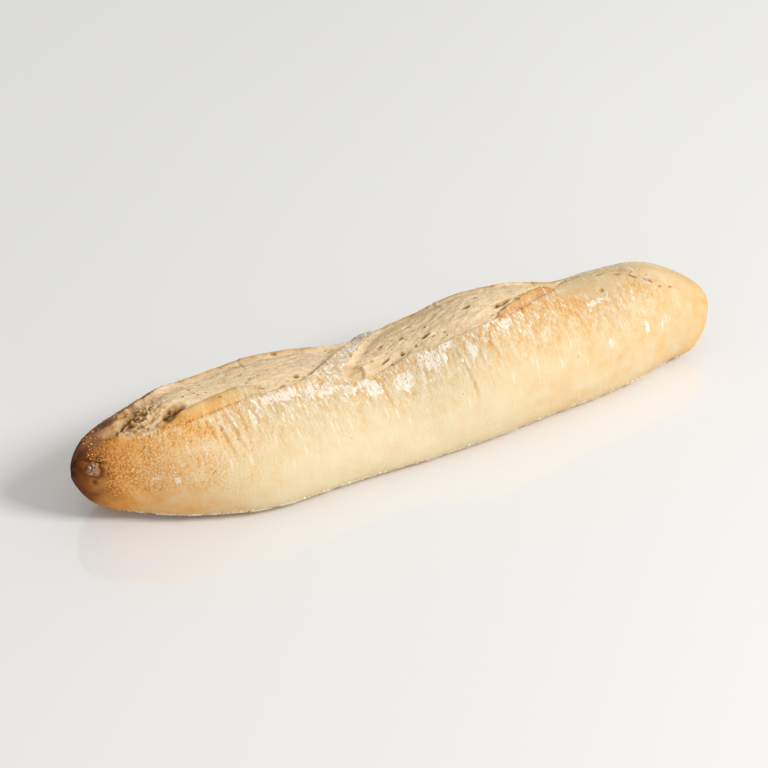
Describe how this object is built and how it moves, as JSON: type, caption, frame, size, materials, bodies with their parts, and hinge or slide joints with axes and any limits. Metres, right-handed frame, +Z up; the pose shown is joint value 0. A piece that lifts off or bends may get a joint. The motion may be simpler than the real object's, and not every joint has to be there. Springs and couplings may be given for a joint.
{
  "type": "baguette",
  "caption": "Short, plump white-flour baguette with open slashes along its top, a flat base and a floured golden crust.",
  "frame": {"origin": "middle of the loaf's box, on the surface that it rests on", "axes": "+X along the loaf, from the tapered brown tip to the blunt tip; +Z up through the slashed top"},
  "size_m": [0.28, 0.0726, 0.0474],
  "materials": {
    "crust": "dry baked crust, pale gold with white flour, browner at one tip"
  },
  "bodies": {
    "root": {"loaf": "crust"}
  },
  "joints": []
}
